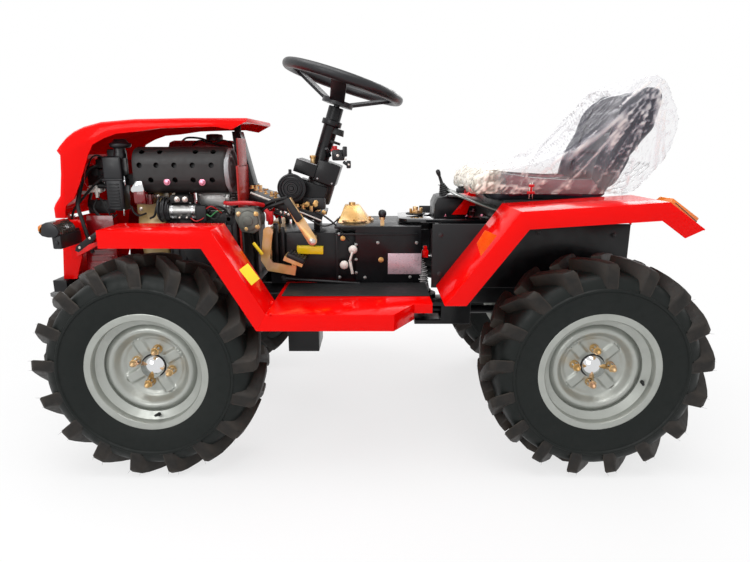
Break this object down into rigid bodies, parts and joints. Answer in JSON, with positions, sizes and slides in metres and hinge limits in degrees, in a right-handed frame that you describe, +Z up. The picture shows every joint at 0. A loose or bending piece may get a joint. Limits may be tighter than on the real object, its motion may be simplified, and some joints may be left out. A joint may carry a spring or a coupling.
{
  "type": "articulated mini tractor",
  "caption": "Small articulated four-wheel-drive tractor with an open driver's place, tilting hood, lugged tyres and a rear drawbar.",
  "frame": {"origin": "on the ground, half-way between the axles on the centre plane", "axes": "+X forward, +Y to the driver's left, +Z up"},
  "size_m": [2.12, 0.936, 1.1726],
  "materials": {
    "red_paint": "gloss",
    "black_paint": "satin",
    "grey_paint": "satin",
    "steel": "satin",
    "rim_silver": "semi-gloss",
    "hub_steel": "polished",
    "tyre_rubber": "matte",
    "brass_zinc": "satin",
    "rubber_mat": "matte",
    "engine_alu": "cast",
    "shroud_tan": "satin",
    "heat_black": "matte",
    "tank_red": "gloss",
    "black_plastic": "grained",
    "amber_lens": "gloss",
    "seat_vinyl": "satin"
  },
  "bodies": {
    "front_frame": {"air_cleaner": "heat_black", "axle_front": "black_paint", "bumper": "black_paint", "column_plate": "black_paint", "engine": "engine_alu", "fan_shroud": "shroud_tan", "firewall": "red_paint", "foot_mats": "rubber_mat", "footboard_left": "red_paint", "footboard_right": "red_paint", "front_chassis": "black_paint", "front_fender_left": "red_paint", "front_fender_right": "red_paint", "front_lamps": "black_plastic", "front_panel": "red_paint", "fuel_tank": "tank_red", "gear_case": "black_paint", "gear_dome": "brass_zinc", "gearbox": "black_paint", "hand_lever": "brass_zinc", "hood_post": "grey_paint", "horn": "black_paint", "muffler": "heat_black", "pedals": "brass_zinc", "range_knob": "brass_zinc", "starter_motor": "engine_alu", "steering_column": "black_paint", "steering_ram": "steel", "switch_box": "black_paint"},
    "rear_frame": {"axle_rear": "black_paint", "console": "black_paint", "drawbar": "black_paint", "gear_stick": "rubber_mat", "pivot_plate": "black_paint", "rear_chassis": "black_paint", "rear_cover": "black_paint", "rear_fender_left": "red_paint", "rear_fender_right": "red_paint", "rear_lamps": "amber_lens", "seat_back": "seat_vinyl", "seat_base": "black_paint", "seat_cushion": "seat_vinyl", "slope_plate": "grey_paint"},
    "hood_body": {"hood": "red_paint"},
    "steering_wheel_body": {"steering_wheel": "black_plastic"},
    "ram_rod_body": {"ram_rod": "steel"},
    "wheel_front_left": {"hub_front_left": "hub_steel", "rim_front_left": "rim_silver", "tyre_front_left": "tyre_rubber"},
    "wheel_front_right": {"hub_front_right": "hub_steel", "rim_front_right": "rim_silver", "tyre_front_right": "tyre_rubber"},
    "wheel_rear_left": {"hub_rear_left": "hub_steel", "rim_rear_left": "rim_silver", "tyre_rear_left": "tyre_rubber"},
    "wheel_rear_right": {"hub_rear_right": "hub_steel", "rim_rear_right": "rim_silver", "tyre_rear_right": "tyre_rubber"}
  },
  "joints": [
    {"name": "articulation", "type": "hinge", "parent": "front_frame", "child": "rear_frame", "pos_m": [-0.172, 0, 0.4], "axis": [0, 0, 1], "range_deg": [-25, 25]},
    {"name": "hood_hinge", "type": "hinge", "parent": "front_frame", "child": "hood_body", "pos_m": [0.948, 0, 0.704], "axis": [0, 1, 0], "range_deg": [0, 60]},
    {"name": "steering", "type": "hinge", "parent": "front_frame", "child": "steering_wheel_body", "pos_m": [0.09463, 0, 1.1019], "axis": [-0.3024, 0, 0.9532], "range_deg": [-540, 540]},
    {"name": "ram_slide", "type": "slide", "parent": "front_frame", "child": "ram_rod_body", "axis": [-0.9999, 0.0132, 0], "range_m": [-0.0508, 0.0508]},
    {"name": "spin_front_left", "type": "hinge", "parent": "front_frame", "child": "wheel_front_left", "pos_m": [0.6125, 0.385, 0.312], "axis": [0, 1, 0], "continuous": true},
    {"name": "spin_front_right", "type": "hinge", "parent": "front_frame", "child": "wheel_front_right", "pos_m": [0.6125, -0.385, 0.312], "axis": [0, 1, 0], "continuous": true},
    {"name": "spin_rear_left", "type": "hinge", "parent": "rear_frame", "child": "wheel_rear_left", "pos_m": [-0.6125, 0.385, 0.312], "axis": [0, 1, 0], "continuous": true},
    {"name": "spin_rear_right", "type": "hinge", "parent": "rear_frame", "child": "wheel_rear_right", "pos_m": [-0.6125, -0.385, 0.312], "axis": [0, 1, 0], "continuous": true}
  ],
  "couplings": [
    {"joint": "steering", "follows": "articulation", "ratio": -21.6},
    {"joint": "ram_slide", "follows": "articulation", "m_per_rad": -0.1162}
  ]
}
